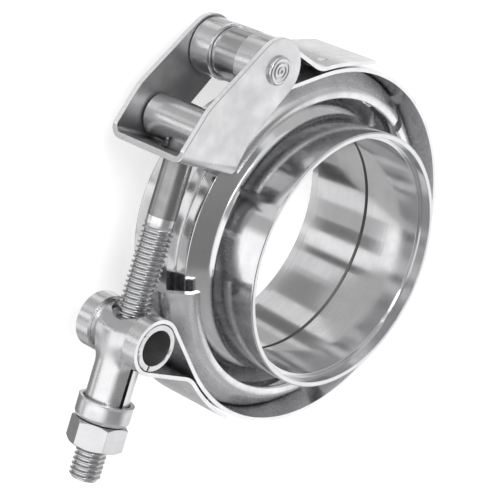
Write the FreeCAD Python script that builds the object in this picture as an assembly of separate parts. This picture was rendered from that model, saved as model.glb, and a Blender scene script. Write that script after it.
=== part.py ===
"""A V-band clamp with its pair of flanges, in millimetres.

The two flanges meet face to face. Three rolled V retainers are spot welded
inside a strap whose ends are folded back into loops. One loop carries the
latch bracket on a rivet, the other carries a T shaped sleeve, and a T-bolt
with a hex nut joins the two. +Z is the flange axis and +X runs along the
bolt towards the nut. The origin is the centre of the rear flange's end face.
"""
import FreeCAD, Part

import math
import os

from FreeCAD import Vector

# Flanges: stub pipes with a coned rim, seen joined.
STUB_OUTER = 33.2
BORE = 30.75
SOCKET = 31.9
SOCKET_DEPTH = 3.0
FLANGE_LENGTH = 20.5
RIM_OUTER = 38.6
RIM_THICKNESS = 3.3
RIM_ROUND = 0.35
CONE_FOOT = (STUB_OUTER, 6.86)
CONE_FOOT_FILLET = 2.2
EDGE_BREAK = 0.3

# The joint between the flanges is the clamp's middle plane.
MID = FLANGE_LENGTH

# Strap: one folded strip, its loops standing outside the ring.
STRAP_WIDTH = 20.5
STRAP_THICKNESS = 1.0
RING_INNER = 45.6
RING_MIDDLE = RING_INNER + STRAP_THICKNESS / 2
LATCH_EYE = (-41.9, -36.4)
BOLT_EYE = (28.0, -47.2)
EYE_INNER = 6.1
EYE_MIDDLE = EYE_INNER + STRAP_THICKNESS / 2
FOLD_GAP = 0.5
FOLD_BEND = 7.0
LATCH_TAIL_HEADING = 74.5
LATCH_TAIL_LEAVES_RING = -170.0
LATCH_TAIL_END = -181.0
BOLT_TAIL_HEADING = 86.0
BOLT_TAIL_END = -17.0

# The strap is cut away at both eyes: a slot over the bushing, and a window
# for the sleeve's stem. The tails are spot welded to the ring.
LATCH_SLOT_HALF = 4.2
LATCH_SLOT_SPAN = (-151.0, -22.0)
LATCH_SLOT_CORNER = 2.0
BOLT_WINDOW_HALF = 6.2
BOLT_WINDOW_TOP = 8.2
BOLT_WINDOW_CORNER = 4.0
WELD_RADIUS = 1.6
WELD_ANGLES = (-163.0, -33.0, -23.0)
WELD_HEIGHTS = (-6.0, 6.0)

# V retainers: rolled channels of thicker sheet, between these angles.
RETAINER_SPANS = {"v_retainer_lower": (-68.5, 29.0),
                  "v_retainer_right": (34.5, 147.0),
                  "v_retainer_upper": (151.0, 246.0)}
RETAINER_SHEET = 1.5
RETAINER_CROWN = 2.13
RETAINER_SHOULDER = (40.28, 7.58)
RETAINER_LIP = (38.24, 7.76)
RETAINER_BENDS = (2.0, 3.0, 3.0, 2.0)

# Play between pieces that are seated on each other and never move.
SEAT = 0.02

# Latch hinge: a bushing in the eye and a rivet through it.
RIVET_SHANK = 2.5
HINGE_CLEARANCE = 0.06
BUSHING_OUTER = 6.0
RIVET_HEAD = 3.55
RIVET_HEAD_HEIGHT = 1.0
RIVET_DIMPLE = 1.1

# Latch bracket: a U of sheet, its web across the bolt.
BRACKET_SHEET = 1.5
BRACKET_INNER_HALF = 10.5
BRACKET_OUTER_HALF = BRACKET_INNER_HALF + BRACKET_SHEET
BRACKET_BEND = 2.05
BRACKET_END_ROUND = 7.7
BRACKET_OUTER_TANGENT = 231.0
BRACKET_OUTER_KNEE = (-29.9, -55.3)
BRACKET_OUTER_KNEE_ROUND = 12.0
BRACKET_INNER_TANGENT = 56.0
BRACKET_INNER_KNEE = (-25.5, -38.2)
BRACKET_INNER_KNEE_ROUND = 20.0
WEB_OUTER_END = (-16.4, -59.2)
WEB_INNER_END = (-15.4, -39.5)
WEB_OUTER_CORNER = (-3.2, -0.3)
WEB_OUTER_CORNER_ROUND = 1.2
WEB_INNER_CORNER = (-3.0, -0.8)
WEB_INNER_CORNER_ROUND = 2.0
WEB_SLOT_HALF = 4.3
WEB_SLOT_SHIFT = 0.3
WEB_SLOT_LENGTH = 12.2

# T-bolt: M8 x 1.25 by roll threading, so the plain shank is thinner.
BOLT_LINE = -47.2
BOLT_HEAD_X = -23.4
SHANK = 3.55
THREAD_MAJOR = 3.9
THREAD_START = 0.6
BOLT_TIP = 65.2
BARREL_OUTER = 5.35
BARREL_INNER = 3.95
BARREL_HALF = 10.2
BARREL_CHAMFER = 0.4
BARREL_HOLE = 4.3

# Trunnion sleeve: a cross tube turning in the eye, with a split stem.
CROSS_OUTER = EYE_INNER - HINGE_CLEARANCE
CROSS_INNER = 4.5
STEM_OUTER = 5.45
STEM_INNER = 4.45
STEM_END = 48.9
STEM_SPLIT = 1.0
STEM_SPLIT_ANGLE = 6.0
STEM_ROOT_FILLET = 1.0
ENTRY_HALF_WIDTH = 4.9
ENTRY_HALF_LENGTH = 5.4

# Collar: a pressed cup over the stem's end, which takes the nut's thrust.
COLLAR_START = 44.8
COLLAR_END = 50.2
COLLAR_OUTER = 6.85
COLLAR_INNER = 5.75
COLLAR_FLARE = 0.25
COLLAR_FLOOR = 1.2
COLLAR_HOLE = 4.15
COLLAR_BOTTOM_ROUND = 1.4

# Hex nut, turned by hand until a corner points away from the ring.
NUT_FLATS = 12.5
NUT_HEIGHT = 6.5
NUT_GAP = 0.05
NUT_BORE = THREAD_MAJOR + 0.06
NUT_COUNTERSINK = 0.4
NUT_CHAMFER_ANGLE = 30.0
NUT_CORNER_ANGLE = 58.0

UP = Vector(0, 0, 1)
ALONG_BOLT = Vector(1, 0, 0)


def spot(radius, degrees, centre=(0.0, 0.0)):
    """A point on a circle, by its angle."""
    turn = math.radians(degrees)
    return (centre[0] + radius * math.cos(turn), centre[1] + radius * math.sin(turn))


def flat(x, y):
    """A point of an outline that is drawn looking down the flange axis."""
    return Vector(x, y, 0)


def section(radius, height):
    """A point of a section that is turned about the flange axis."""
    return Vector(radius, 0, MID + height)


def side_edge(segment, shift, place):
    """One side of a strip's segment, shifted to the left of its travel."""
    if segment[0] == "line":
        (x0, y0), (x1, y1) = segment[1:]
        length = math.hypot(x1 - x0, y1 - y0)
        left = (-(y1 - y0) / length * shift, (x1 - x0) / length * shift)
        ends = [place(x0 + left[0], y0 + left[1]), place(x1 + left[0], y1 + left[1])]
        return Part.LineSegment(*ends), ends
    centre, radius, start, end = segment[1:]
    radius -= shift if end > start else -shift
    through = [place(*spot(radius, angle, centre)) for angle in (start, (start + end) / 2, end)]
    return Part.Arc(*through), [through[0], through[2]]


def strip(segments, thickness, place):
    """The face of a bent sheet's section, from the line along its middle."""
    edges = []
    corners = []
    for shift in (thickness / 2, -thickness / 2):
        sides = [side_edge(segment, shift, place) for segment in segments]
        edges += [curve.toShape() for curve, _ in sides]
        corners.append((sides[0][1][0], sides[-1][1][1]))
    edges.append(Part.LineSegment(corners[0][0], corners[1][0]).toShape())
    edges.append(Part.LineSegment(corners[0][1], corners[1][1]).toShape())
    return Part.Face(Part.Wire(Part.__sortEdges__(edges)))


def bent_line(points, radii):
    """Straight runs joined by tangent bends, as segments for a strip."""
    segments = []
    here = points[0]
    for corner, after, radius in zip(points[1:], points[2:], radii):
        way_in = math.atan2(corner[1] - here[1], corner[0] - here[0])
        way_out = math.atan2(after[1] - corner[1], after[0] - corner[0])
        turn = math.remainder(way_out - way_in, 2 * math.pi)
        reach = radius * math.tan(abs(turn) / 2)
        start = (corner[0] - reach * math.cos(way_in), corner[1] - reach * math.sin(way_in))
        aside = way_in + math.copysign(math.pi / 2, turn)
        centre = (start[0] + radius * math.cos(aside), start[1] + radius * math.sin(aside))
        first = math.degrees(aside) + 180.0
        last = first + math.degrees(turn)
        segments += [("line", here, start), ("arc", centre, radius, first, last)]
        here = spot(radius, last, centre)
    return segments + [("line", here, points[-1])]


def rounded_outline(points):
    """A closed wire through corners given as (x, y, radius)."""
    corners = [(x, y) for x, y, _ in points]
    middle = ((corners[0][0] + corners[-1][0]) / 2, (corners[0][1] + corners[-1][1]) / 2)
    segments = bent_line([middle] + corners + [middle], [radius for _, _, radius in points])
    solid_segments = [s for s in segments if s[0] == "line" or s[2] > 0]
    edges = [side_edge(segment, 0, flat)[0].toShape() for segment in solid_segments]
    return Part.Wire(Part.__sortEdges__(edges))


def tube_z(centre, outer, inner, half):
    """A tube across the clamp, centred on the middle plane."""
    base = Vector(centre[0], centre[1], MID - half)
    return Part.makeCylinder(outer, 2 * half, base).cut(Part.makeCylinder(inner, 2 * half, base))


def rod_x(radius, start, end):
    """A round bar along the bolt's line."""
    return Part.makeCylinder(radius, end - start, Vector(start, BOLT_LINE, MID), ALONG_BOLT)


def turned_x(profile):
    """A solid turned about the bolt's line, from (x, radius) points."""
    points = [Vector(x, BOLT_LINE + radius, MID) for x, radius in profile]
    face = Part.Face(Part.makePolygon(points + points[:1]))
    return face.revolve(Vector(0, BOLT_LINE, MID), ALONG_BOLT, 360)


def flange(side):
    """A stub with a coned rim. side is +1 for the front one, -1 for the rear."""
    far = FLANGE_LENGTH
    outline = [(RIM_OUTER, 0), (RIM_OUTER, RIM_THICKNESS), CONE_FOOT, (STUB_OUTER, far - EDGE_BREAK)]
    outer = bent_line(outline, (RIM_ROUND, CONE_FOOT_FILLET))
    edges = [side_edge(segment, 0, lambda r, z: section(r, side * z))[0].toShape() for segment in outer]
    inner = [(STUB_OUTER, far - EDGE_BREAK), (STUB_OUTER - EDGE_BREAK, far), (SOCKET, far),
             (SOCKET, far - SOCKET_DEPTH), (BORE, far - SOCKET_DEPTH), (BORE, EDGE_BREAK),
             (BORE + EDGE_BREAK, 0), (RIM_OUTER, 0)]
    ends = [section(radius, side * height) for radius, height in inner]
    edges += [Part.LineSegment(a, b).toShape() for a, b in zip(ends, ends[1:])]
    face = Part.Face(Part.Wire(Part.__sortEdges__(edges)))
    return face.revolve(Vector(0, 0, 0), UP, 360)


def eye_tangent(eye, side):
    """Where the strap leaves the ring for an eye: its angle on the ring."""
    distance = math.hypot(*eye)
    opening = math.degrees(math.acos((RING_MIDDLE + EYE_MIDDLE) / distance))
    return math.degrees(math.atan2(eye[1], eye[0])) + side * opening


def tail_bend(start, heading, side, ring):
    """The bend that lays a straight tail onto the ring: its centre, and that centre's angle."""
    turn = math.radians(heading)
    along = (math.cos(turn), math.sin(turn))
    aside = (side * along[1], -side * along[0])
    base = (start[0] + aside[0] * FOLD_BEND, start[1] + aside[1] * FOLD_BEND)
    dot = base[0] * along[0] + base[1] * along[1]
    gap = base[0] ** 2 + base[1] ** 2 - (ring + FOLD_BEND) ** 2
    run = -dot - math.sqrt(dot * dot - gap)
    centre = (base[0] + run * along[0], base[1] + run * along[1])
    return centre, math.degrees(math.atan2(centre[1], centre[0]))


def strap_path():
    """The middle line of the strap, from the latch side's tail to the bolt side's."""
    tail_ring = RING_MIDDLE + STRAP_THICKNESS + FOLD_GAP
    leave_a = eye_tangent(LATCH_EYE, -1)
    leave_c = eye_tangent(BOLT_EYE, 1)
    off_a = LATCH_TAIL_HEADING + 90.0
    off_c = BOLT_TAIL_HEADING + 270.0
    start_a = spot(EYE_MIDDLE, off_a, LATCH_EYE)
    start_c = spot(EYE_MIDDLE, off_c, BOLT_EYE)
    bend_a, ring_a = tail_bend(start_a, LATCH_TAIL_HEADING, -1, tail_ring)
    bend_c, ring_c = tail_bend(start_c, BOLT_TAIL_HEADING, 1, tail_ring)
    flick = tail_ring / math.cos(math.radians(LATCH_TAIL_LEAVES_RING - LATCH_TAIL_END))
    foot_a = spot(FOLD_BEND, LATCH_TAIL_HEADING - 90.0, bend_a)
    foot_c = spot(FOLD_BEND, BOLT_TAIL_HEADING + 90.0, bend_c)
    return [("line", spot(flick, LATCH_TAIL_END), spot(tail_ring, LATCH_TAIL_LEAVES_RING)),
            ("arc", (0, 0), tail_ring, LATCH_TAIL_LEAVES_RING, ring_a),
            ("arc", bend_a, FOLD_BEND, ring_a + 180.0, LATCH_TAIL_HEADING - 90.0),
            ("line", foot_a, start_a),
            ("arc", LATCH_EYE, EYE_MIDDLE, off_a, leave_a + 540.0),
            ("line", spot(EYE_MIDDLE, leave_a + 180.0, LATCH_EYE), spot(RING_MIDDLE, leave_a)),
            ("arc", (0, 0), RING_MIDDLE, leave_a + 360.0, leave_c),
            ("line", spot(RING_MIDDLE, leave_c), spot(EYE_MIDDLE, leave_c + 180.0, BOLT_EYE)),
            ("arc", BOLT_EYE, EYE_MIDDLE, leave_c + 180.0, off_c),
            ("line", start_c, foot_c),
            ("arc", bend_c, FOLD_BEND, BOLT_TAIL_HEADING + 90.0, ring_c + 180.0),
            ("arc", (0, 0), tail_ring, ring_c, BOLT_TAIL_END)]


def latch_eye_slot():
    """The cutter for the slot over the bushing, a sector with rounded ends."""
    first, last = LATCH_SLOT_SPAN
    reach = EYE_INNER + 2 * STRAP_THICKNESS
    sector = Part.makeCylinder(reach, 2 * LATCH_SLOT_HALF, Vector(0, 0, 0), UP, last - first)
    corners = [e for e in sector.Edges if e.Curve.TypeId == "Part::GeomLine"
               and e.Length > EYE_INNER and abs(e.tangentAt(e.FirstParameter).z) < 0.5]
    sector = sector.makeFillet(LATCH_SLOT_CORNER, corners)
    sector.rotate(Vector(0, 0, 0), UP, first)
    sector.translate(Vector(LATCH_EYE[0], LATCH_EYE[1], MID - LATCH_SLOT_HALF))
    return sector


def bolt_eye_window():
    """The cutter for the window that the sleeve's stem and the bolt pass through."""
    reach = 2 * EYE_INNER
    corner = Vector(BOLT_EYE[0] - reach, BOLT_EYE[1] - reach, MID - BOLT_WINDOW_HALF)
    window = Part.makeBox(2 * reach, reach + BOLT_WINDOW_TOP, 2 * BOLT_WINDOW_HALF, corner)
    top = [e for e in window.Edges if abs(e.CenterOfMass.y - BOLT_EYE[1] - BOLT_WINDOW_TOP) < 0.1
           and abs(e.tangentAt(e.FirstParameter).x) > 0.9]
    return window.makeFillet(BOLT_WINDOW_CORNER, top)


def clamp_band():
    """The strap: folded, cut away at both eyes, and welded to itself at its tails."""
    band = strip(strap_path(), STRAP_THICKNESS, flat)
    band.translate(Vector(0, 0, MID - STRAP_WIDTH / 2))
    band = band.extrude(Vector(0, 0, STRAP_WIDTH))
    band = band.cut(latch_eye_slot()).cut(bolt_eye_window())
    for angle in WELD_ANGLES:
        for height in WELD_HEIGHTS:
            start = Vector(*spot(RING_MIDDLE, angle), MID + height)
            way = Vector(*spot(1, angle), 0)
            band = band.fuse(Part.makeCylinder(WELD_RADIUS, STRAP_THICKNESS + FOLD_GAP, start, way))
    return band


def v_retainer(start, end):
    """A rolled channel between two angles, its lips standing inwards."""
    crown = RING_INNER - SEAT - RETAINER_SHEET / 2
    upper = [(crown, RETAINER_CROWN), RETAINER_SHOULDER, RETAINER_LIP]
    lower = [(radius, -height) for radius, height in reversed(upper)]
    face = strip(bent_line(lower + upper, RETAINER_BENDS), RETAINER_SHEET, section)
    solid = face.revolve(Vector(0, 0, 0), UP, end - start)
    solid.rotate(Vector(0, 0, 0), UP, start)
    return solid


def loop_bushing():
    """The turned tube that fills the latch side's eye."""
    return tube_z(LATCH_EYE, BUSHING_OUTER, RIVET_SHANK + HINGE_CLEARANCE, STRAP_WIDTH / 2)


def latch_rivet():
    """The hinge rivet, with a dished head at each end."""
    centre = Vector(LATCH_EYE[0], LATCH_EYE[1], MID)
    dish_depth = RIVET_HEAD_HEIGHT / 3
    rivet = Part.makeCylinder(RIVET_SHANK, 2 * BRACKET_OUTER_HALF, centre - UP * BRACKET_OUTER_HALF)
    for way in (UP, -UP):
        seat = centre + way * BRACKET_OUTER_HALF
        top = seat + way * RIVET_HEAD_HEIGHT
        head = Part.makeCylinder(RIVET_HEAD, RIVET_HEAD_HEIGHT, seat, way)
        rim = [e for e in head.Edges if e.Closed and (e.CenterOfMass - top).Length < 0.01]
        head = head.makeFillet(RIVET_HEAD_HEIGHT / 2, rim)
        dish = Part.makeCone(RIVET_DIMPLE / 2, RIVET_DIMPLE, dish_depth, top - way * dish_depth, way)
        rivet = rivet.fuse(head.cut(dish))
    return rivet.removeSplitter()


def bracket_plan():
    """The bracket from the side: round the rivet, then widening out to the web."""
    past_web = 2 * BRACKET_SHEET
    outer_corner = (WEB_OUTER_END[0] + WEB_OUTER_CORNER[0], WEB_OUTER_END[1] + WEB_OUTER_CORNER[1])
    inner_corner = (WEB_INNER_END[0] + WEB_INNER_CORNER[0], WEB_INNER_END[1] + WEB_INNER_CORNER[1])
    points = [(*spot(BRACKET_END_ROUND, BRACKET_OUTER_TANGENT, LATCH_EYE), 0.0),
              (*BRACKET_OUTER_KNEE, BRACKET_OUTER_KNEE_ROUND),
              (*outer_corner, WEB_OUTER_CORNER_ROUND),
              (WEB_OUTER_END[0] + past_web, WEB_OUTER_END[1], 0.0),
              (WEB_INNER_END[0] + past_web, WEB_INNER_END[1], 0.0),
              (*inner_corner, WEB_INNER_CORNER_ROUND),
              (*BRACKET_INNER_KNEE, BRACKET_INNER_KNEE_ROUND),
              (*spot(BRACKET_END_ROUND, BRACKET_INNER_TANGENT, LATCH_EYE), 0.0)]
    low = MID - BRACKET_OUTER_HALF
    body = Part.Face(rounded_outline(points))
    body.translate(UP * low)
    body = body.extrude(UP * 2 * BRACKET_OUTER_HALF)
    end = Part.makeCylinder(BRACKET_END_ROUND, 2 * BRACKET_OUTER_HALF, Vector(*LATCH_EYE, low))
    return body.fuse(end).removeSplitter()


def latch_bracket():
    """A U of sheet: two side plates on the rivet and a slotted web across the bolt."""
    half = BRACKET_INNER_HALF + BRACKET_SHEET / 2
    run = Vector(WEB_INNER_END[0] - WEB_OUTER_END[0], WEB_INNER_END[1] - WEB_OUTER_END[1], 0).normalize()
    out = Vector(run.y, -run.x, 0)
    web = Vector(*WEB_OUTER_END, 0) - out * BRACKET_SHEET / 2
    reach = 40.0

    def across(depth, height):
        return web - run * reach + out * depth + UP * (MID + height)

    path = bent_line([(-reach, -half), (0, -half), (0, half), (-reach, half)], (BRACKET_BEND, BRACKET_BEND))
    channel = strip(path, BRACKET_SHEET, across).extrude(run * 3 * reach)
    bracket = channel.common(bracket_plan())
    hole = Part.makeCylinder(RIVET_SHANK, 2 * BRACKET_OUTER_HALF, Vector(*LATCH_EYE, MID - BRACKET_OUTER_HALF))
    middle = web + run * ((BOLT_LINE - web.y) / run.y + WEB_SLOT_SHIFT) + UP * MID
    straight = WEB_SLOT_LENGTH / 2 - WEB_SLOT_HALF
    through = 4 * BRACKET_SHEET
    corner = Vector(-straight, -WEB_SLOT_HALF, -through / 2)
    slot = Part.makeBox(2 * straight, 2 * WEB_SLOT_HALF, through, corner)
    for end in (-straight, straight):
        slot = slot.fuse(Part.makeCylinder(WEB_SLOT_HALF, through, Vector(end, 0, -through / 2)))
    slot.Placement = FreeCAD.Placement(middle, FreeCAD.Rotation(run, UP, out, "XZY"))
    return bracket.cut(hole).cut(slot)


def t_bolt():
    """Plain shank, rolled thread at its major size and a chamfered tip."""
    step = THREAD_MAJOR - SHANK
    inner = BARREL_INNER - SEAT
    bolt = turned_x([(BOLT_HEAD_X - inner, 0), (BOLT_HEAD_X - inner, SHANK), (THREAD_START, SHANK),
                     (THREAD_START + step, THREAD_MAJOR), (BOLT_TIP - 2 * step, THREAD_MAJOR),
                     (BOLT_TIP, THREAD_MAJOR - 2 * step), (BOLT_TIP, 0)])
    seat = Part.makeCylinder(inner, 2 * BARREL_HALF, Vector(BOLT_HEAD_X, BOLT_LINE, MID - BARREL_HALF))
    ahead = rod_x(2 * SHANK, BOLT_HEAD_X, BOLT_TIP + 1)
    return bolt.common(seat.fuse(ahead))


def t_bolt_barrel():
    """The rolled tube across the bolt's head, with a hole for the shank."""
    tube = tube_z((BOLT_HEAD_X, BOLT_LINE), BARREL_OUTER, BARREL_INNER, BARREL_HALF)
    rims = [e for e in tube.Edges if e.Closed and e.Length > 2 * math.pi * (BARREL_OUTER - 0.1)]
    hole = rod_x(BARREL_HOLE, BOLT_HEAD_X, BOLT_HEAD_X + 2 * BARREL_OUTER)
    return tube.makeChamfer(BARREL_CHAMFER, rims).cut(hole)


def trunnion_sleeve():
    """A cross tube with a split stem drawn out of its side for the bolt."""
    low = Vector(*BOLT_EYE, MID - STRAP_WIDTH / 2)
    body = Part.makeCylinder(CROSS_OUTER, STRAP_WIDTH, low).fuse(rod_x(STEM_OUTER, BOLT_EYE[0], STEM_END))
    root = [e for e in body.Edges if e.Curve.TypeId == "Part::GeomBSplineCurve"]
    body = body.makeFillet(STEM_ROOT_FILLET, root)
    bore = Part.makeCylinder(CROSS_INNER, STRAP_WIDTH, low)
    entry = Part.makeCylinder(1.0, 2 * CROSS_OUTER, Vector(0, 0, 0), -ALONG_BOLT)
    stretch = FreeCAD.Matrix()
    stretch.scale(Vector(1, ENTRY_HALF_WIDTH, ENTRY_HALF_LENGTH))
    entry = entry.transformGeometry(stretch)
    entry.translate(Vector(BOLT_EYE[0], BOLT_LINE, MID))
    split_start = Vector(BOLT_EYE[0] + CROSS_OUTER + STEM_ROOT_FILLET, BOLT_LINE - STEM_SPLIT / 2, MID)
    split = Part.makeBox(STEM_END - BOLT_EYE[0], STEM_SPLIT, 2 * STEM_OUTER, split_start)
    split.rotate(Vector(0, BOLT_LINE, MID), ALONG_BOLT, STEM_SPLIT_ANGLE)
    return body.cut(bore).cut(rod_x(STEM_INNER, BOLT_EYE[0], STEM_END)).cut(entry).cut(split)


def nut_collar():
    """A pressed cup: flared rim, straight wall, rounded bottom with the bolt's hole."""
    flare_end = COLLAR_START + 2 * COLLAR_FLARE
    floor = COLLAR_END - COLLAR_FLOOR
    cup = turned_x([(COLLAR_START, COLLAR_INNER + COLLAR_FLARE), (COLLAR_START, COLLAR_OUTER + COLLAR_FLARE / 2),
                    (flare_end, COLLAR_OUTER), (COLLAR_END, COLLAR_OUTER), (COLLAR_END, COLLAR_HOLE),
                    (floor, COLLAR_HOLE), (floor, COLLAR_INNER), (flare_end, COLLAR_INNER)])
    rim = [e for e in cup.Edges if e.Closed and abs(e.CenterOfMass.x - COLLAR_END) < 0.01
           and e.Length > 2 * math.pi * COLLAR_INNER]
    return cup.makeFillet(COLLAR_BOTTOM_ROUND, rim)


def hex_nut():
    """A hexagon with both ends turned off at the corners, bored and countersunk."""
    corner = NUT_FLATS / 2 / math.cos(math.pi / 6)
    start = COLLAR_END + NUT_GAP
    end = start + NUT_HEIGHT
    turns = [NUT_CORNER_ANGLE + 60 * k for k in range(7)]
    points = [Vector(start, BOLT_LINE + y, MID + z) for y, z in (spot(corner, turn) for turn in turns)]
    hexagon = Part.Face(Part.makePolygon(points)).extrude(Vector(NUT_HEIGHT, 0, 0))
    face_radius = NUT_FLATS / 2 - 0.1
    drop = (corner - face_radius) * math.tan(math.radians(NUT_CHAMFER_ANGLE))
    form = turned_x([(start, 0), (start, face_radius), (start + drop, corner), (end - drop, corner),
                     (end, face_radius), (end, 0)])
    sunk = NUT_BORE + NUT_COUNTERSINK
    bore = turned_x([(start, 0), (start, sunk), (start + NUT_COUNTERSINK, NUT_BORE),
                     (end - NUT_COUNTERSINK, NUT_BORE), (end, sunk), (end, 0)])
    return hexagon.common(form).cut(bore)


def write(name, shape):
    """One piece to its own STEP file, checked to be a single valid solid."""
    if len(shape.Solids) != 1 or not shape.isValid():
        raise RuntimeError("%s: %d solids, valid %s" % (name, len(shape.Solids), shape.isValid()))
    shape.Solids[0].exportStep("parts/%s.step" % name)
    box = shape.BoundBox
    print("%-18s %8.1f mm3  x %.1f..%.1f  y %.1f..%.1f  z %.1f..%.1f" % (
        name, shape.Volume, box.XMin, box.XMax, box.YMin, box.YMax, box.ZMin, box.ZMax))


os.makedirs("parts", exist_ok=True)
write("rear_flange", flange(-1))
write("front_flange", flange(1))
write("clamp_band", clamp_band())
for retainer, span in RETAINER_SPANS.items():
    write(retainer, v_retainer(*span))
write("loop_bushing", loop_bushing())
write("latch_bracket", latch_bracket())
write("latch_rivet", latch_rivet())
write("t_bolt", t_bolt())
write("t_bolt_barrel", t_bolt_barrel())
write("trunnion_sleeve", trunnion_sleeve())
write("nut_collar", nut_collar())
write("hex_nut", hex_nut())
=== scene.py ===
import math

import bmesh
import bpy
from mathutils import Matrix, Vector


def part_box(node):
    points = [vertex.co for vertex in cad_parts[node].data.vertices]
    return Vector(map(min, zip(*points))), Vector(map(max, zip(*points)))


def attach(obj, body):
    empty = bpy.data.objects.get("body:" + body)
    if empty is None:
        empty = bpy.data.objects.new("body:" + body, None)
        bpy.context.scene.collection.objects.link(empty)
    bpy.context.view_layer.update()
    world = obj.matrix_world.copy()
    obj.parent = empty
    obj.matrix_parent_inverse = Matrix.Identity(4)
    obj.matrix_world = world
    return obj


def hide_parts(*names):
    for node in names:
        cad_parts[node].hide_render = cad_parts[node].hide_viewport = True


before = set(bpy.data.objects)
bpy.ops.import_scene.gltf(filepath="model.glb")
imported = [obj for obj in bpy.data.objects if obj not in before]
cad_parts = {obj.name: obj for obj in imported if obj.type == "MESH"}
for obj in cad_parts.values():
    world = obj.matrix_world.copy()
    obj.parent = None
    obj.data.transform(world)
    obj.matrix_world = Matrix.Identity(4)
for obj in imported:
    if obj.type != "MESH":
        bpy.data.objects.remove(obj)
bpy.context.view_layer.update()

# Flanges. Two turned stainless stubs meet face to face at coned rims, with a
# shallow socket for the pipe at each end. Fine lathe lines go round them, and the
# rear flange's bore chamfer where they meet is painted near black, as painted shade.
MM = 0.001
JOINT_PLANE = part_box("front_flange")[0].z / MM
FLANGE_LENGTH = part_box("front_flange")[1].z / MM - JOINT_PLANE
STUB_OUTER = 33.2
BORE = 30.75
SOCKET = 31.9
SOCKET_DEPTH = 3.0
RIM_OUTER = 38.6
RIM_THICKNESS = 3.3
CONE_FOOT = 6.86
CONE_FILLET = 2.2
JOINT_CHAMFER = 0.5
JOINT_EDGE = 0.3
OUTER_EDGE = 0.35
BORE_EDGE = 0.15
SOCKET_FILLET = 0.08
FULL_TURN = 2 * math.pi
POINT_GAP = 1e-4
UP = Vector((0, 0, 1))


def rounded(corners, steps=6):
    """A line through corners of (x, y, radius), with each corner rounded."""
    points = []
    for k, (x, y, radius) in enumerate(corners):
        here = Vector((x, y))
        if not radius or k in (0, len(corners) - 1):
            points.append(here)
            continue
        back = (Vector(corners[k - 1][:2]) - here).normalized()
        ahead = (Vector(corners[k + 1][:2]) - here).normalized()
        half = back.angle(ahead) / 2
        centre = here + (back + ahead).normalized() * radius / math.sin(half)
        start = here + back * radius / math.tan(half) - centre
        turn = start.angle_signed(here + ahead * radius / math.tan(half) - centre)
        for step in range(steps + 1):
            points.append(centre + Matrix.Rotation(-turn * step / steps, 2) @ start)
    return points


def turned(profile, place, centre, axis, closed=True, sweep=FULL_TURN, steps=160):
    """A mesh turned from a profile about an axis, in millimetres. place gives
    the point in space of each point (a, b) of the profile."""
    bm = bmesh.new()
    verts = [bm.verts.new(place(a, b)) for a, b in profile]
    pairs = zip(verts, verts[1:] + verts[:1]) if closed else zip(verts, verts[1:])
    edges = [bm.edges.new(pair) for pair in pairs]
    whole = sweep == FULL_TURN
    made = bmesh.ops.spin(bm, geom=verts + edges, cent=centre, axis=axis, angle=sweep,
                          steps=steps, use_merge=whole, use_duplicate=False)
    if not whole:
        last = [v for v in made["geom_last"] if isinstance(v, bmesh.types.BMVert)]
        bm.faces.new(verts)
        bmesh.ops.contextual_create(bm, geom=[e for e in bm.edges if all(v in last for v in e.verts)])
    bmesh.ops.remove_doubles(bm, verts=bm.verts, dist=POINT_GAP)
    bmesh.ops.dissolve_degenerate(bm, edges=bm.edges, dist=POINT_GAP)
    bmesh.ops.recalc_face_normals(bm, faces=bm.faces)
    return bm


def piece(bm, name, body, slot, finish, *nodes, crease=32.0, flat_faces=False):
    """A finished piece in metres, riding on its body in place of its CAD nodes.
    Edges sharper than crease stay sharp, and flat_faces shades by face area."""
    bmesh.ops.scale(bm, vec=(MM, MM, MM), verts=bm.verts)
    mesh = bpy.data.meshes.new(name)
    bm.to_mesh(mesh)
    bm.free()
    mesh.shade_smooth()
    mesh.set_sharp_from_angle(angle=math.radians(crease))
    made = bpy.data.objects.new(name, mesh)
    bpy.context.scene.collection.objects.link(made)
    mesh.materials.append(finish)
    if flat_faces:
        made.modifiers.new("even_shading", "WEIGHTED_NORMAL").keep_sharp = True
    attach(made, body)
    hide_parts(*nodes)
    return made


class Socket:
    """A shader socket that can be written into sums and products."""

    def __init__(self, tree, socket=None):
        self.tree = tree
        self.socket = socket

    def node(self, kind, settings, inputs, output=0):
        made = self.tree.nodes.new("ShaderNode" + kind)
        for key, value in settings.items():
            setattr(made, key, value)
        for key, value in inputs.items():
            if isinstance(value, Socket):
                self.tree.links.new(value.socket, made.inputs[key])
            else:
                made.inputs[key].default_value = value
        return Socket(self.tree, made.outputs[output])

    def maths(self, operation, *values):
        return self.node("Math", {"operation": operation}, dict(enumerate(values)))

    def to(self, shader, name):
        self.tree.links.new(self.socket, shader.inputs[name])

    def __add__(self, other):
        return self.maths("ADD", self, other)

    def __sub__(self, other):
        return self.maths("SUBTRACT", self, other)

    def __rsub__(self, other):
        return self.maths("SUBTRACT", other, self)

    def __mul__(self, other):
        return self.maths("MULTIPLY", self, other)

    __radd__ = __add__
    __rmul__ = __mul__


LINE_DENSITY = 1000.0
LINE_STRETCH = 25.0
LINE_WANDER = LINE_STRETCH / 3
LINE_ROW = 707.10677
LINE_TONE = 3.0
LINE_ROUGHNESS = 0.4
LINE_DEPTH = 0.00003
CLOUD_SCALE = 220.0
CLOUD_ROUGHNESS = 0.2
SMEAR_SCALE = 35.0
SMEAR_TONE = 0.6
LIGHT_TINT = (1.18, 1.18, 1.19)
DARK_TINT = (0.80, 0.80, 0.82)


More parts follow.
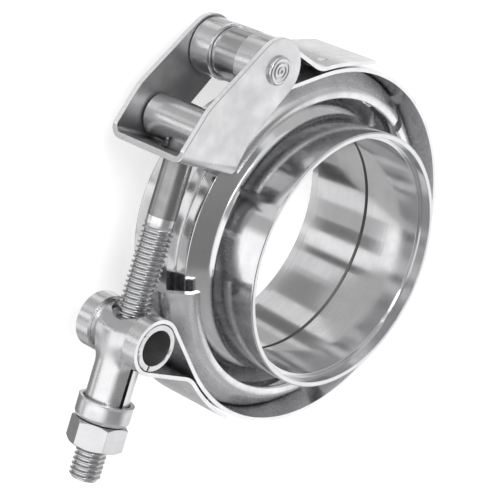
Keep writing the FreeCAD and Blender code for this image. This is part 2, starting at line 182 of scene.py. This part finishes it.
def steel(name, tone, polish, lines, centre=(0, 0, 0), cloudy=0.5, depth=0.35):
    """Stainless steel of a tone and a roughness. lines is the axis that its
    lathe lines go round, as "round x" or "round z", or the axis that they run
    along, as "along z". centre is a point of that axis in millimetres, cloudy
    says how blotched the steel is, and depth how deep its lines are."""
    made = bpy.data.materials.new(name)
    made.use_nodes = True
    tree = made.node_tree
    shader = tree.nodes["Principled BSDF"]
    space = Socket(tree)
    spot = space.node("TexCoord", {}, {}, "Object")
    local = space.node("VectorMath", {"operation": "SUBTRACT"}, {0: spot, 1: [c * MM for c in centre]})
    way, axis = lines.split()
    if way == "round":
        parts = [space.node("SeparateXYZ", {}, {0: local}, k) for k in range(3)]
        height = parts.pop("xyz".index(axis))
        across = parts[0] * LINE_WANDER
        grain = space.node("CombineXYZ", {}, {0: height * LINE_DENSITY, 1: LINE_ROW, 2: across})
    else:
        stretch = [LINE_STRETCH if one == axis else LINE_DENSITY for one in "xyz"]
        grain = space.node("VectorMath", {"operation": "MULTIPLY"}, {0: local, 1: stretch})
    fine = space.node("TexNoise", {}, {"Vector": grain, "Scale": 1.0, "Detail": 4.0, "Roughness": 0.7})
    cloud = space.node("TexNoise", {}, {"Vector": spot, "Scale": CLOUD_SCALE, "Detail": 4.0})
    smear = space.node("TexNoise", {}, {"Vector": spot, "Scale": SMEAR_SCALE, "Detail": 2.0})
    shade = (fine - 0.5) * (LINE_TONE * depth) + (cloud - 0.5) * cloudy + (smear - 0.5) * SMEAR_TONE + 0.5
    light, dark = [(*[tone * part for part in tint], 1) for tint in (LIGHT_TINT, DARK_TINT)]
    colour = space.node("Mix", {"data_type": "RGBA"}, {0: shade, 6: light, 7: dark}, 2)
    colour.to(shader, "Base Color")
    rough = (fine - 0.5) * (LINE_ROUGHNESS * depth) + (cloud - 0.5) * (CLOUD_ROUGHNESS * cloudy) + polish
    rough.to(shader, "Roughness")
    bump = space.node("Bump", {}, {"Strength": depth, "Distance": LINE_DEPTH, "Height": fine})
    bump.to(shader, "Normal")
    shader.inputs["Metallic"].default_value = 1.0
    return made


flange_steel = steel("flange_steel", 0.64, 0.13, "round z", depth=0.12)
# Near-black steel for the rear flange's bore chamfer: painted shade in the groove where the flanges meet.
joint_shade = steel("flange_groove_painted_shade", 0.10, 0.45, "round z")
flange_corners = [(0, BORE + JOINT_CHAMFER, 0), (0, RIM_OUTER, JOINT_EDGE),
                  (RIM_THICKNESS, RIM_OUTER, OUTER_EDGE), (CONE_FOOT, STUB_OUTER, CONE_FILLET),
                  (FLANGE_LENGTH, STUB_OUTER, OUTER_EDGE), (FLANGE_LENGTH, SOCKET, BORE_EDGE),
                  (FLANGE_LENGTH - SOCKET_DEPTH, SOCKET, SOCKET_FILLET),
                  (FLANGE_LENGTH - SOCKET_DEPTH, BORE, BORE_EDGE),
                  (JOINT_CHAMFER, BORE, 0), (0, BORE + JOINT_CHAMFER, 0)]
flange_line = rounded(flange_corners)[:-1]
for node, side in (("rear_flange", -1), ("front_flange", 1)):
    stub = turned(flange_line, lambda h, r: Vector((r, 0, JOINT_PLANE + side * h)), (0, 0, 0), UP, steps=256)
    # Faces of the rear flange's chamfer take the painted shade steel, and the front flange keeps its own
    # steel.
    for face in stub.faces:
        middle = face.calc_center_median()
        groove = abs(middle.z - JOINT_PLANE) < JOINT_CHAMFER and middle.xy.length < BORE + JOINT_CHAMFER
        face.material_index = int(groove and side < 0)
    flange = piece(stub, node + "_turned", "clamp", "flange_steel", flange_steel, node)
    flange.data.materials.append(joint_shade)

# V retainers. Three rolled channels of thicker strip sit inside the strap,
# spot welded at the crown, and their lips bear on the cones of the flanges.
# Rolling leaves them duller and a little clouded.
CHANNEL_SHEET = 1.5
CHANNEL_SPANS = {"v_retainer_lower": (-68.5, 29.0), "v_retainer_right": (34.5, 147.0),
                 "v_retainer_upper": (151.0, 246.0)}
CHANNEL_LINE = [(44.83, 2.13, 3.0), (40.28, 7.58, 2.0), (38.24, 7.76, 0)]
CHANNEL_EDGE = 0.3


def thick_line(line, thickness, edge):
    """The outline of a bent sheet's section, with its two cut edges rounded."""
    sides = ([], [])
    for k, here in enumerate(line):
        back = line[max(k - 1, 0)]
        ahead = line[min(k + 1, len(line) - 1)]
        along = (ahead - back).normalized()
        aside = Vector((-along.y, along.x)) * thickness / 2
        sides[0].append(here + aside)
        sides[1].append(here - aside)
    loop = sides[0] + sides[1][::-1]
    ends = [loop[0], loop[len(line) - 1], loop[len(line)], loop[-1]]
    corners = [(p.x, p.y, edge if p in ends else 0) for p in loop]
    start = (loop[1] + loop[2]) / 2
    ring = corners[2:] + corners[:2]
    return rounded([(start.x, start.y, 0)] + ring + [(start.x, start.y, 0)], 3)[:-1]


retainer_steel = steel("retainer_steel", 0.68, 0.26, "round z", cloudy=1.2, depth=0.25)
front_half = [(h, r, bend) for r, h, bend in CHANNEL_LINE]
rear_half = [(-h, r, bend) for h, r, bend in reversed(front_half)]
channel_section = thick_line(rounded(rear_half + front_half), CHANNEL_SHEET, CHANNEL_EDGE)
for node, (first, last) in CHANNEL_SPANS.items():
    first_end = Matrix.Rotation(math.radians(first), 3, "Z")
    channel = turned(channel_section, lambda h, r: first_end @ Vector((r, 0, JOINT_PLANE + h)), (0, 0, 0),
                     UP, sweep=math.radians(last - first), steps=96)
    piece(channel, node + "_rolled", "clamp", "retainer_steel", retainer_steel, node)

# Strap. One bright strip of stainless is folded back on itself at both ends to
# make the eyes, and its tails are spot welded, which leaves shallow dents. The
# latch's eye has a slot, and all of its sheared edges are broken.
STRAP_EDGE = 0.16
MERGE_GAP = 1e-3
FLAT_ANGLE = 0.3


def merged(node):
    """A merged copy of a CAD node's mesh, in millimetres."""
    bm = bmesh.new()
    bm.from_mesh(bpy.data.objects[node].data)
    bmesh.ops.scale(bm, vec=(1 / MM,) * 3, verts=bm.verts)
    bmesh.ops.remove_doubles(bm, verts=bm.verts, dist=MERGE_GAP)
    bmesh.ops.dissolve_limit(bm, angle_limit=math.radians(FLAT_ANGLE), verts=bm.verts, edges=bm.edges)
    return bm


def edges_broken(bm, width, crease=35.0, segments=2):
    """The mesh with its edges that are sharper than crease bevelled."""
    sharp = [e for e in bm.edges if len(e.link_faces) == 2 and e.calc_face_angle() > math.radians(crease)]
    bmesh.ops.bevel(bm, geom=sharp, offset=width, affect="EDGES", segments=segments, profile=0.5,
                    material=-1, clamp_overlap=True)
    bmesh.ops.recalc_face_normals(bm, faces=bm.faces)
    return bm


def less(bm, cutter):
    """The mesh with the cutter's shape taken out of it, and left closed."""
    pair = []
    for shape in (bm, cutter):
        mesh = bpy.data.meshes.new("cut")
        shape.to_mesh(mesh)
        shape.free()
        pair.append(bpy.data.objects.new("cut", mesh))
        bpy.context.scene.collection.objects.link(pair[-1])
    knife = pair[0].modifiers.new("cut", "BOOLEAN")
    knife.operation = "DIFFERENCE"
    knife.solver = "EXACT"
    knife.object = pair[1]
    left = bmesh.new()
    left.from_object(pair[0], bpy.context.evaluated_depsgraph_get())
    for made in pair:
        bpy.data.objects.remove(made)
    bmesh.ops.holes_fill(left, edges=[e for e in left.edges if e.is_boundary], sides=0)
    return left


LATCH_EYE = (-41.9, -36.4)
EYE_SLOT_HALF = 4.3
EYE_SLOT_SPAN = (-186.0, 12.0)
EYE_SLOT_REACH = (5.6, 9.0)
WELD_PLACES = [(angle, height) for angle in (-163.0, -33.0, -23.0) for height in (-6.0, 6.0)]
TAIL_OUTER = 48.1
PUNCH_RADIUS = 4.0
PUNCH_HALF = 2.0
PUNCH_LENGTH = 1.0
PUNCH_RINGS = 8
DENT_DEPTH = 0.3
slot_start = Matrix.Rotation(math.radians(EYE_SLOT_SPAN[0]), 3, "Z")
inner, outer = EYE_SLOT_REACH
slot_corners = [(inner, -EYE_SLOT_HALF), (inner, EYE_SLOT_HALF),
                (outer, EYE_SLOT_HALF), (outer, -EYE_SLOT_HALF)]


def slot_place(radius, height):
    """A point of the slot's section, at the first end of the slot."""
    return slot_start @ Vector((radius, 0, 0)) + Vector((*LATCH_EYE, JOINT_PLANE + height))


slot = turned(slot_corners, slot_place, (*LATCH_EYE, 0), UP,
              sweep=math.radians(EYE_SLOT_SPAN[1] - EYE_SLOT_SPAN[0]), steps=72)
ring_radii = [PUNCH_HALF * k / PUNCH_RINGS for k in range(PUNCH_RINGS + 1)]
nose_line = [(PUNCH_RADIUS - math.sqrt(PUNCH_RADIUS ** 2 - r * r) - DENT_DEPTH, r) for r in ring_radii]
nose_line += [(PUNCH_LENGTH, PUNCH_HALF), (PUNCH_LENGTH, 0)]
nose = turned(nose_line, lambda x, r: Vector((x, r, 0)), (0, 0, 0), (1, 0, 0), steps=40)
punch = bpy.data.meshes.new("punch")
nose.to_mesh(punch)
nose.free()
punches = bmesh.new()
for angle, height in WELD_PLACES:
    count = len(punches.verts)
    punches.from_mesh(punch)
    punches.verts.ensure_lookup_table()
    seat = Matrix.Translation((TAIL_OUTER, 0, JOINT_PLANE + height))
    bmesh.ops.transform(punches, matrix=Matrix.Rotation(math.radians(angle), 4, "Z") @ seat,
                        verts=punches.verts[count:])
strap_steel = steel("band_steel", 0.74, 0.26, "round z", cloudy=0.6, depth=0.2)
strap = edges_broken(less(less(merged("clamp_band"), slot), punches), STRAP_EDGE)
piece(strap, "clamp_band_folded", "clamp", "band_steel", strap_steel, "clamp_band", flat_faces=True)

# Latch bushing. A turned steel tube fills the strap's eye, held by the fold, and
# the rivet turns in its bore. Its ends are chamfered.
BUSHING_OUTER = 6.0
BUSHING_INNER = 2.56
BUSHING_CHAMFER = 0.3
STRAP_HALF = (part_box("loop_bushing")[1].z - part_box("loop_bushing")[0].z) / MM / 2
bushing_steel = steel("bushing_steel", 0.52, 0.24, "round z", centre=(*LATCH_EYE, 0), depth=0.15)


def latch_pin_line(height, radius):
    """A point of a section that is turned about the latch's hinge."""
    return Vector((LATCH_EYE[0] + radius, LATCH_EYE[1], JOINT_PLANE + height))


bushing_corners = [(0, BUSHING_OUTER, 0), (STRAP_HALF, BUSHING_OUTER, BUSHING_CHAMFER),
                   (STRAP_HALF, BUSHING_INNER, BUSHING_CHAMFER),
                   (-STRAP_HALF, BUSHING_INNER, BUSHING_CHAMFER),
                   (-STRAP_HALF, BUSHING_OUTER, BUSHING_CHAMFER), (0, BUSHING_OUTER, 0)]
bushing = turned(rounded(bushing_corners)[:-1], latch_pin_line, (*LATCH_EYE, 0), UP, steps=96)
piece(bushing, "loop_bushing_turned", "clamp", "turned_steel", bushing_steel, "loop_bushing")

# Latch bracket. A U of bright sheet, blanked and folded, with a slot in its web
# that the T-bolt lies in. The rivet is its hinge. Its outer faces are bright, its
# inner faces darker as painted shade inside the U, and the sheared edges of its
# plates have a rough sheared finish, painted near white as a painted highlight.
BRACKET_EDGE = 0.18
PLATE_SHEET = 1.5
PLATE_MIDDLE = 11.25
BRACKET_INSIDE = (-25.0, -47.0)
BEVEL_AREA = 1.0
EDGE_ON = 0.3
bracket_steel = steel("bracket_steel", 0.64, 0.30, "along x", cloudy=1.0, depth=0.05)
# Darker steel for the faces turned to the inside of the U: painted shade.
bracket_inside_painted_shade = steel("bracket_inside_painted_shade", 0.36, 0.36, "along x", cloudy=1.2, depth=0.08)
# Rough steel for the sheared plate edges, painted near white as a painted highlight.
bracket_sheared_highlight = steel("bracket_sheared_highlight", 0.95, 0.60, "along z", cloudy=1.0)
inside = Vector((*BRACKET_INSIDE, JOINT_PLANE))
sheet = edges_broken(merged("latch_bracket"), BRACKET_EDGE)
sheet.normal_update()
# Plate edges take the painted highlight steel, and large faces turned to the inside of the U take the
# painted shade steel.
for face in sheet.faces:
    middle = face.calc_center_median()
    in_plate = abs(abs(middle.z - JOINT_PLANE) - PLATE_MIDDLE) < PLATE_SHEET / 2
    if in_plate and abs(face.normal.z) < EDGE_ON:
        face.material_index = 2
    elif (inside - middle).dot(face.normal) > 0 and face.calc_area() > BEVEL_AREA:
        face.material_index = 1
bracket = piece(sheet, "latch_bracket_folded", "latch", "bracket_steel", bracket_steel, "latch_bracket",
                flat_faces=True)
bracket.data.materials.append(bracket_inside_painted_shade)
bracket.data.materials.append(bracket_sheared_highlight)

# Hinge rivet. A plain steel pin through the bracket and the bushing. Its ends were
# spun over into heads, and the tool left rings and a centre mark in them.
PLATE_FACE = 12.0
PIN_RADIUS = 2.5
HEAD_LINE = [(0.0, 3.42), (0.35, 3.55), (0.62, 3.5), (0.90, 3.1), (0.93, 2.75), (0.80, 2.5), (0.80, 2.2),
             (0.97, 2.0), (1.0, 1.75), (0.86, 1.45), (0.80, 1.05), (0.94, 0.85), (0.98, 0.6), (0.80, 0.35),
             (0.74, 0.0)]
rivet_steel = steel("rivet_steel", 0.64, 0.22, "round z", centre=(*LATCH_EYE, 0))
front_head = [(PLATE_FACE + height, radius) for height, radius in HEAD_LINE]
rear_head = [(-height, radius) for height, radius in reversed(front_head)]
rivet_line = rear_head + [(-PLATE_FACE, PIN_RADIUS), (PLATE_FACE, PIN_RADIUS)] + front_head
rivet = turned(rivet_line, latch_pin_line, (*LATCH_EYE, 0), UP, closed=False, steps=96)
piece(rivet, "latch_rivet_spun", "latch", "rivet_steel", rivet_steel, "latch_rivet", crease=50.0)

# T-bolt. The shank is rolled to an M8 thread, 1.25 mm to a turn, from just past
# the latch to the tip, and its plain end is held in the barrel. The plain shank
# within the latch is painted dark as painted shade, and the short plain neck
# between it and the thread is painted bright as a painted highlight ring.
BOLT_LINE = -47.2
BOLT_AXIS = (0, BOLT_LINE, JOINT_PLANE)
BOLT_HEAD = -23.4
SHANK = 3.55
THREAD_MAJOR = 3.9
THREAD_MINOR = 3.2
THREAD_ROUNDING = 0.03
SHANK_END = -1.2
THREAD_START = 0.6
BOLT_TIP = 65.2
PITCH = 1.25
RUN_OUT = 1.6
TIP_RADIUS = 3.1
HEAD_SEAT = 3.8
TURN_STEPS = 56
FORWARD = Vector((1, 0, 0))


def bolt_place(x, radius):
    """A point of a section that is turned about the bolt."""
    return Vector((x, BOLT_LINE + radius, JOINT_PLANE))


screw = bmesh.new()
valley = THREAD_MINOR + THREAD_ROUNDING
shoulder = THREAD_MAJOR - THREAD_ROUNDING
tooth = [(0.0, THREAD_MINOR), (0.18, valley), (0.50, shoulder), (0.58, THREAD_MAJOR), (0.68, THREAD_MAJOR),
         (0.76, shoulder), (1.08, valley)]
teeth = math.ceil((BOLT_TIP - THREAD_START) / PITCH) + 1
row = [screw.verts.new(bolt_place(THREAD_START + (k - 1) * PITCH + x, radius))
       for k in range(teeth + 1) for x, radius in tooth]
chain = [screw.edges.new(pair) for pair in zip(row, row[1:])]
bmesh.ops.spin(screw, geom=row + chain, cent=BOLT_AXIS, axis=FORWARD, angle=FULL_TURN,
               dvec=FORWARD * PITCH / TURN_STEPS, steps=TURN_STEPS, use_merge=False, use_duplicate=False)
bmesh.ops.remove_doubles(screw, verts=screw.verts, dist=MERGE_GAP)
for vert in screw.verts:
    arm = Vector((0, vert.co.y - BOLT_LINE, vert.co.z - JOINT_PLANE))
    x = min(max(vert.co.x, THREAD_START), BOLT_TIP)
    depth_share = min(max((x - THREAD_START) / RUN_OUT, 0), 1)
    radius = min(SHANK + (arm.length - SHANK) * depth_share, TIP_RADIUS + BOLT_TIP - x)
    vert.co = Vector((x, BOLT_LINE, JOINT_PLANE)) + arm.normalized() * radius
bmesh.ops.remove_doubles(screw, verts=screw.verts, dist=MERGE_GAP)
bmesh.ops.dissolve_degenerate(screw, edges=screw.edges, dist=MERGE_GAP)
rim = [e for e in screw.edges if e.is_boundary and e.verts[0].co.x < (BOLT_HEAD + BOLT_TIP) / 2]
drawn = bmesh.ops.extrude_edge_only(screw, edges=rim)["geom"]
head = [v for v in drawn if isinstance(v, bmesh.types.BMVert)]
bmesh.ops.translate(screw, vec=FORWARD * (BOLT_HEAD - HEAD_SEAT / 2 - THREAD_START), verts=head)
bmesh.ops.holes_fill(screw, edges=[e for e in screw.edges if e.is_boundary], sides=0)
bmesh.ops.recalc_face_normals(screw, faces=screw.faces)
bmesh.ops.bisect_plane(screw, geom=screw.verts[:] + screw.edges[:] + screw.faces[:], dist=POINT_GAP,
                       plane_co=FORWARD * SHANK_END, plane_no=FORWARD)
# Faces before SHANK_END take the dark steel of painted shade, and the neck up to THREAD_START takes the
# bright steel of a painted highlight.
for face in screw.faces:
    middle = face.calc_center_median()
    face.material_index = int(middle.x < THREAD_START) + int(middle.x < SHANK_END)
bolt_steel = steel("bolt_thread", 0.54, 0.28, "along x", BOLT_AXIS, depth=0.1)
bolt = piece(screw, "t_bolt_threaded", "bolt", "bolt_steel", bolt_steel, "t_bolt", crease=40.0)
# Bright steel for the neck: a painted highlight ring.
bolt.data.materials.append(steel("bolt_neck_painted_highlight", 0.72, 0.25, "along x", BOLT_AXIS, cloudy=1.0, depth=0.2))
# Dark steel for the shank within the latch: painted shade.
bolt.data.materials.append(steel("bolt_shank_painted_shade", 0.30, 0.32, "along x", BOLT_AXIS, cloudy=1.5, depth=0.3))

# T-bolt barrel. A short drawn tube of steel is the bolt's cross head: the shank's
# end is held in its bore, through a round hole in its side.
BARREL_EDGE = 0.12
barrel_steel = steel("barrel_steel", 0.68, 0.26, "along z", centre=(BOLT_HEAD, BOLT_LINE, 0), depth=0.15)
piece(edges_broken(merged("t_bolt_barrel"), BARREL_EDGE), "t_bolt_barrel_drawn", "bolt", "turned_steel",
      barrel_steel, "t_bolt_barrel", flat_faces=True)

# Trunnion sleeve. A cross tube turns in the strap's eye, and the bolt runs out
# through a split stem drawn from its side. Its tube has a seam at the front end.
# It is polished outside, and its bore is rougher and painted dark as painted shade.
SLEEVE_EDGE = 0.14
TRUNNION_EYE = 28.0
CROSS_OUTER = 6.05
CROSS_HALF = STRAP_HALF
STEM_OUTER = 5.45
STEM_BLEND = 3.6
BLEND_FADE = 1.6
WINDOW_HALF = 6.2
LEAST_BLEND = 0.001
TAPER_LENGTH = 1.3
TAPER_DEPTH = 0.25
END_SLACK = 0.01
SKIN_INNER = 0.2
SKIN_OUTER = 0.5
BORE_DEPTH = 0.5
STEM_CUTS = 24
STEM_CUT_GAP = 0.5
TUBE_CUTS = 11
TUBE_CUT_GAP = 0.6
RADIAL_CUTS = 16
CUT_SNAP = 0.08
SKIN_STEPS = 5
SEAM_SIZE = (4.0, 0.4, 7.0)
SEAM_ANGLE = -10.0
END_FACE = 0.7


def tee(point):
    """How far a point is outside the blended tee, the way outwards there, and
    how far it is outside the tee with no blend."""
    across = Vector((point.x - TRUNNION_EYE, point.y - BOLT_LINE, 0))
    around = Vector((0, point.y - BOLT_LINE, point.z - JOINT_PLANE))
    to_tube = across.length - CROSS_OUTER
    to_stem = around.length - STEM_OUTER
    if TRUNNION_EYE - point.x > to_stem:
        to_stem = TRUNNION_EYE - point.x
        around = -FORWARD
    room = (WINDOW_HALF - abs(point.z - JOINT_PLANE)) / BLEND_FADE
    room = min(max(room, LEAST_BLEND), 1) * STEM_BLEND
    overlap = max(room - abs(to_tube - to_stem), 0)
    share = overlap / room / 2
    near, far = (across, around) if to_tube < to_stem else (around, across)
    way = near.normalized() * (1 - share) + far.normalized() * share
    plain = min(to_tube, to_stem)
    return plain - overlap * overlap / (4 * room), way, plain


sleeve_steel = steel("sleeve_steel", 0.64, 0.27, "along x", BOLT_AXIS, depth=0.12)
# Dark, rougher steel for the bore: painted shade inside the tube.
sleeve_bore_painted_shade = steel("sleeve_bore_painted_shade", 0.30, 0.45, "along z", BOLT_AXIS)
tube = merged("trunnion_sleeve")
cuts = [(FORWARD * (TRUNNION_EYE + STEM_CUT_GAP * k), FORWARD) for k in range(1, STEM_CUTS + 1)]
cuts += [(UP * (JOINT_PLANE + TUBE_CUT_GAP * k), UP) for k in range(-TUBE_CUTS, TUBE_CUTS + 1)]
cuts += [(UP * (JOINT_PLANE + side * (CROSS_HALF - TAPER_LENGTH)), UP) for side in (-1, 1)]
for k in range(RADIAL_CUTS):
    lean = math.pi * k / RADIAL_CUTS
    cuts.append((Vector(BOLT_AXIS), Vector((0, math.cos(lean), math.sin(lean)))))
    cuts.append((Vector((TRUNNION_EYE, BOLT_LINE, 0)), Vector((math.cos(lean), math.sin(lean), 0))))
for place, normal in cuts:
    bmesh.ops.bisect_plane(tube, geom=tube.verts[:] + tube.edges[:] + tube.faces[:], dist=CUT_SNAP,
                           plane_co=place, plane_no=normal)
for vert in tube.verts:
    if not -SKIN_INNER < tee(vert.co)[2] < SKIN_OUTER:
        continue
    for step in range(SKIN_STEPS):
        outside, way = tee(vert.co)[:2]
        vert.co -= way * (outside / way.length_squared)
    if abs(vert.co.z - JOINT_PLANE) > CROSS_HALF - END_SLACK:
        arm = Vector((vert.co.x - TRUNNION_EYE, vert.co.y - BOLT_LINE, 0))
        vert.co -= arm.normalized() * TAPER_DEPTH
seam = bmesh.new()
bmesh.ops.create_cube(seam, size=1.0)
bmesh.ops.scale(seam, vec=SEAM_SIZE, verts=seam.verts)
bmesh.ops.translate(seam, vec=(CROSS_OUTER, 0, CROSS_HALF), verts=seam.verts)
seam_turn = Matrix.Rotation(math.radians(SEAM_ANGLE), 3, "Z")
bmesh.ops.rotate(seam, cent=(0, 0, 0), matrix=seam_turn, verts=seam.verts)
bmesh.ops.translate(seam, vec=(TRUNNION_EYE, BOLT_LINE, JOINT_PLANE), verts=seam.verts)
tube = edges_broken(less(tube, seam), SLEEVE_EDGE, crease=50.0)
# Faces deep inside the tee, except the end faces, take the painted shade steel of the bore.
for face in tube.faces:
    within = tee(face.calc_center_median())[2] < -BORE_DEPTH
    face.material_index = int(within and abs(face.normal.z) < END_FACE)
sleeve = piece(tube, "trunnion_sleeve_drawn", "trunnion", "sleeve_steel", sleeve_steel, "trunnion_sleeve",
               crease=50.0, flat_faces=True)
sleeve.data.materials.append(sleeve_bore_painted_shade)

# Nut collar. A pressed steel cup over the stem's end takes the thrust of the nut.
# It has a flared rim and a satin, slightly pitted skin.
COLLAR_LINE = [(47.5, 6.85, 0), (45.5, 6.85, 1.5), (44.9, 7.0, 0.2), (44.8, 6.75, 0.1), (44.8, 6.0, 0.15),
               (45.3, 5.75, 0.4), (49.0, 5.75, 0.3), (49.0, 4.15, 0.1), (50.2, 4.15, 0.15),
               (50.2, 6.85, 1.4), (47.5, 6.85, 0)]
collar_steel = steel("collar_steel", 0.60, 0.30, "round x", BOLT_AXIS, cloudy=1.4, depth=0.15)
collar = turned(rounded(COLLAR_LINE)[:-1], bolt_place, BOLT_AXIS, FORWARD, steps=128)
piece(collar, "nut_collar_pressed", "trunnion", "collar_steel", collar_steel, "nut_collar")

# Hex nut. A bright M8 nut of stainless bar, faced and chamfered at both ends. It
# screws along the bolt and bears on the collar.
NUT_EDGE = 0.12
nut_steel = steel("nut_steel", 0.56, 0.20, "round x", BOLT_AXIS, depth=0.12)
piece(edges_broken(merged("hex_nut"), NUT_EDGE, crease=22.0), "hex_nut_chamfered", "nut", "nut_steel",
      nut_steel, "hex_nut", flat_faces=True)

# Camera. It looks down at the bolt's side of the clamp through a long lens, as the
# photograph does, and the bolt runs from the picture's top to its foot.
CAMERA_PLACE = Vector((-0.0784, -0.3948, 0.3290))
CAMERA_RIGHT = Vector((-0.29035, 0.63794, 0.71325))
CAMERA_UP = Vector((-0.94224, -0.06054, -0.32942))
LENS = 144.4
scene = bpy.context.scene
scene.view_settings.view_transform = "Standard"
camera = bpy.data.objects.new("camera", bpy.data.cameras.new("camera"))
camera.data.lens = LENS
camera.data.sensor_width = 36.0
camera.data.sensor_fit = "HORIZONTAL"
camera.data.clip_start = 0.01
right = CAMERA_RIGHT.normalized()
backward = right.cross(CAMERA_UP).normalized()
facing = Matrix((right, backward.cross(right), backward)).transposed().to_4x4()
camera.matrix_world = Matrix.Translation(CAMERA_PLACE) @ facing
scene.collection.objects.link(camera)
scene.camera = camera

# Floor. A pale matt sheet that carries the clamp and its shadow. The camera sees
# it lifted to white. Reflections pass through it, to the cards below.
FLOOR_HALF = 3.0
FLOOR_GREY = 0.6
FLOOR_LIFT = 0.6
SQUARE = ((-1, -1), (1, -1), (1, 1), (-1, 1))


def stage_sheet(name, corners, matte):
    """A flat sheet of the studio, through four corners in metres."""
    bm = bmesh.new()
    bm.faces.new([bm.verts.new(corner) for corner in corners])
    mesh = bpy.data.meshes.new(name)
    bm.to_mesh(mesh)
    bm.free()
    mesh.materials.append(matte)
    sheet = bpy.data.objects.new(name, mesh)
    scene.collection.objects.link(sheet)
    return sheet


def matt_paint(name, tone):
    """A material with an even tone and no shine, and its shader."""
    made = bpy.data.materials.new(name)
    made.use_nodes = True
    shader = made.node_tree.nodes["Principled BSDF"]
    shader.inputs["Base Color"].default_value = (tone, tone, tone, 1)
    shader.inputs["Specular IOR Level"].default_value = 0.0
    return made, shader


def looked_at(space):
    """One for the rays that look at a surface, and nought for those that light by it."""
    camera_ray, glossy_ray, clear_ray = [space.node("LightPath", {}, {}, "Is %s Ray" % kind)
                                         for kind in ("Camera", "Glossy", "Transmission")]
    return camera_ray + glossy_ray + clear_ray


paint, shader = matt_paint("floor_paint", FLOOR_GREY)
shader.inputs["Roughness"].default_value = 0.9
shader.inputs["Emission Strength"].default_value = 1.0
(looked_at(Socket(paint.node_tree)) * FLOOR_LIFT).to(shader, "Emission Color")
floor = stage_sheet("floor", [(FLOOR_HALF * x, FLOOR_HALF * y, 0) for x, y in SQUARE], paint)
floor.visible_glossy = False

# Light. A backdrop that is white where it is looked at gives soft light that grows
# from SKY_HEIGHTS, the sines of two elevations, and two soft boxes face the clamp.
SKY_HEIGHTS = (-0.2, 0.9)
SKY_LIGHT = (0.35, 0.9)
SOFT_BOX = 0.5
LAMPS = {"key": ((-0.5, -0.7, 0.9), 7.0), "fill": ((0.9, 0.1, 0.7), 5.0)}
world = bpy.data.worlds.new("studio")
world.use_nodes = True
scene.world = world
sky = Socket(world.node_tree)
direction = sky.node("TexCoord", {}, {}, "Generated")
height = sky.node("SeparateXYZ", {}, {0: direction}, 2)
glow = sky.node("MapRange", {}, {"Value": height, "From Min": SKY_HEIGHTS[0], "From Max": SKY_HEIGHTS[1],
                                 "To Min": SKY_LIGHT[0], "To Max": SKY_LIGHT[1]})
backdrop = world.node_tree.nodes["Background"]
sky.maths("MAXIMUM", looked_at(sky), glow).to(backdrop, "Strength")
backdrop.inputs["Color"].default_value = (1, 1, 1, 1)
for name, (place, watts) in LAMPS.items():
    lamp = bpy.data.lights.new(name, "AREA")
    lamp.size = SOFT_BOX
    lamp.energy = watts
    box = bpy.data.objects.new(name, lamp)
    box.location = place
    box.rotation_euler = Vector(place).to_track_quat("Z", "Y").to_euler()
    scene.collection.objects.link(box)


# Studio cards. Sheets of light and dark grey give the bright metal its streaks.
# They stand round the clamp, below the floor too, and lie over and under it. Only
# reflections see them: no camera, shadow or soft light does.
CARD_RADIUS = 0.6
# Narrow cards below the floor, each with its first and last bearing and its grey.
BAND = (-0.60, -0.36)
BAND_CARDS = ((-180, -162, 0.95), (-162, -132, 0.36), (-132, -126, 0.65), (-126, -111, 1.0),
              (-109, -101, 0.14), (-100, -84, 1.25), (-83, -69, 0.24), (-68, -50, 0.60), (-50, -30, 1.05),
              (-28, -7, 0.05), (-6, 18, 0.42), (18, 42, 0.20), (42, 60, 0.55), (60, 80, 1.2), (80, 96, 0.18),
              (96, 112, 1.15), (112, 128, 1.0), (128, 150, 0.55), (150, 158, 0.80), (158, 176, 0.22))
# Wide cards, each with its bearings, its lowest and highest edge and its grey.
PANELS = ((-92, -50, -0.34, 0.50, 1.5), (-92, -50, -1.15, -0.62, 1.3), (-180, -140, 0.0, 0.55, 1.0),
          (-138, -95, 0.0, 0.60, 0.5), (-180, -95, -0.34, -0.02, 0.6), (-180, -95, -1.15, -0.62, 0.35),
          (-46, 50, 0.02, 0.80, 0.45), (-46, 50, -0.34, -0.02, 0.6), (-46, 50, -1.15, -0.62, 0.35),
          (58, 102, 0.22, 0.62, 1.3), (112, 178, 0.04, 0.70, 0.65))
# Level cards, each with its height, its half width and its grey.
LEVEL_CARDS = {"ceiling_card": (0.75, 0.5, 0.27), "cellar_card": (-1.2, 0.7, 0.35)}


def card(name, corners, grey):
    """A sheet of one even grey that only reflections see."""
    matte, shader = matt_paint(name, 0.0)
    shader.inputs["Emission Color"].default_value = (1, 1, 1, 1)
    shader.inputs["Emission Strength"].default_value = grey
    sheet = stage_sheet(name, corners, matte)
    sheet.visible_camera = False
    sheet.visible_diffuse = False
    sheet.visible_shadow = False


def standing(bearing, height):
    """A point of the ring that the cards stand on."""
    angle = math.radians(bearing)
    return (CARD_RADIUS * math.cos(angle), CARD_RADIUS * math.sin(angle), height)


standing_cards = [(first, last, *BAND, grey) for first, last, grey in BAND_CARDS] + list(PANELS)
for k, (first, last, low, high, grey) in enumerate(standing_cards):
    corners = [standing(first, low), standing(last, low), standing(last, high), standing(first, high)]
    card("standing_card_%d" % k, corners, grey)
for name, (level, half, grey) in LEVEL_CARDS.items():
    card(name, [(half * x, half * y, level) for x, y in SQUARE], grey)
